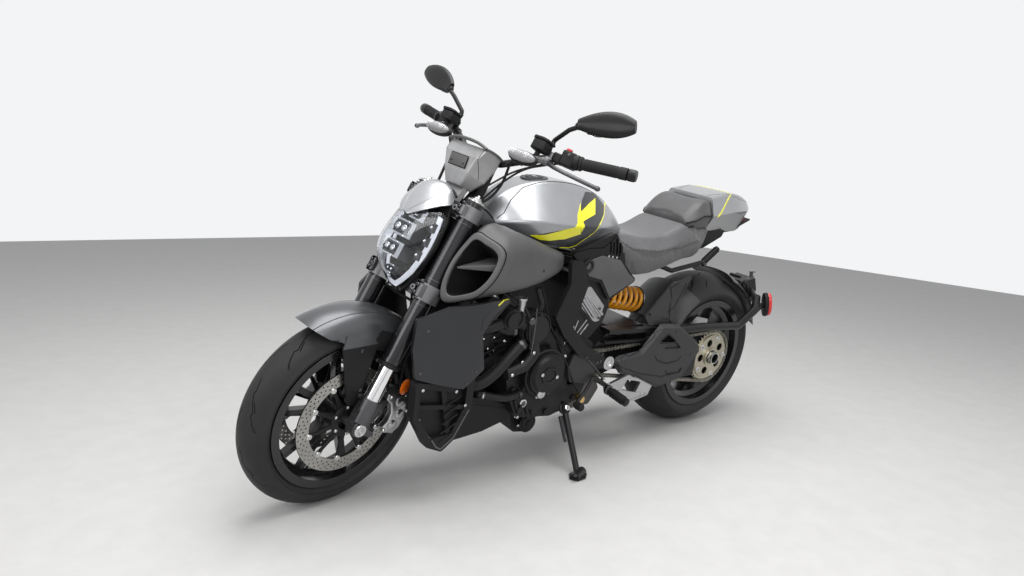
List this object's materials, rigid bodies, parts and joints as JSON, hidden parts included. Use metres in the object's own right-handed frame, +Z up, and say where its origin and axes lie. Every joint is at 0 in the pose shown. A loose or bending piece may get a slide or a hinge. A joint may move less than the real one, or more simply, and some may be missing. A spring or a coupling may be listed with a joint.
{
  "type": "cruiser motorcycle",
  "caption": "Muscle cruiser motorcycle leaning on its side stand, with turning wheels, steering and a folding stand.",
  "frame": {"origin": "centre of the parked machine's footprint box, on the floor", "axes": "+X forward along the machine, +Y to the rider's left, +Z up; the machine leans to its left on its side stand"},
  "size_m": [2.2602, 0.8968, 1.3612],
  "materials": {
    "graphite_paint": "satin graphite grey",
    "black_coating": "satin black powder coat",
    "engine_black": "black painted casting",
    "black_plastic": "grained moulded plastic",
    "rubber_hose": "matt rubber",
    "radiator_core": "blackened fins",
    "seat_vinyl": "seat cover",
    "tyre_rubber": "tyre tread and wall",
    "disc_steel": "ground disc",
    "bare_alloy": "machined and anodised",
    "spring_steel": "yellow spring, black damper",
    "chain_steel": "chain and sprocket",
    "clear_lens": "clear lens"
  },
  "bodies": {
    "frame": {"main_frame": "black_coating", "frame_plates": "black_plastic", "engine_crankcase": "engine_black", "engine_cylinders": "engine_black", "engine_side_covers": "engine_black", "coolant_circuit": "rubber_hose", "radiator": "radiator_core", "radiator_cowls": "graphite_paint", "belly_pan": "black_plastic", "exhaust": "black_coating", "fuel_tank": "graphite_paint", "intake_covers": "graphite_paint", "rear_subframe": "black_coating", "side_panels": "black_plastic", "rider_seat": "seat_vinyl", "seat_backrest": "seat_vinyl", "tail_cowl": "graphite_paint", "swingarm": "black_coating", "rear_shock": "spring_steel", "chain": "chain_steel", "swingarm_covers": "black_plastic", "plate_carrier": "black_coating", "rear_caliper": "bare_alloy", "foot_controls": "bare_alloy"},
    "fork": {"fork_outer_tubes": "black_coating", "fork_lowers": "bare_alloy", "front_axle": "bare_alloy", "triple_clamps": "bare_alloy", "handlebar": "black_coating", "grips": "rubber_hose", "bar_controls": "black_plastic", "mirrors": "black_plastic", "instrument_pod": "black_plastic", "headlight_shell": "black_plastic", "headlight_core": "bare_alloy", "headlight_lens": "clear_lens", "headlight_visor": "graphite_paint", "front_fender": "graphite_paint", "front_calipers": "bare_alloy", "brake_hoses": "rubber_hose"},
    "front_wheel": {"front_rim": "black_coating", "front_tyre": "tyre_rubber", "front_discs": "disc_steel"},
    "rear_wheel": {"rear_rim": "black_coating", "rear_tyre": "tyre_rubber", "rear_disc": "disc_steel", "rear_sprocket": "chain_steel"},
    "side_stand": {"side_stand": "black_coating"}
  },
  "joints": [
    {"name": "steering", "type": "hinge", "parent": "frame", "child": "fork", "pos_m": [0.80622, -0.10422, 0.2823], "axis": [-0.4367, 0.1173, 0.8919], "range_deg": [-40.7, 19.3]},
    {"name": "front_wheel_spin", "type": "hinge", "parent": "fork", "child": "front_wheel", "pos_m": [0.83348, -0.09681, 0.29468], "axis": [-0.1673, 0.9636, -0.2086], "continuous": true},
    {"name": "rear_wheel_spin", "type": "hinge", "parent": "frame", "child": "rear_wheel", "pos_m": [-0.75899, -0.09932, 0.32249], "axis": [-0.0002, 0.9914, -0.1305], "continuous": true},
    {"name": "side_stand_fold", "type": "hinge", "parent": "frame", "child": "side_stand", "pos_m": [0.0308, 0.03699, 0.20722], "axis": [0.0992, 0.8829, 0.4591], "range_deg": [0, 78]}
  ]
}
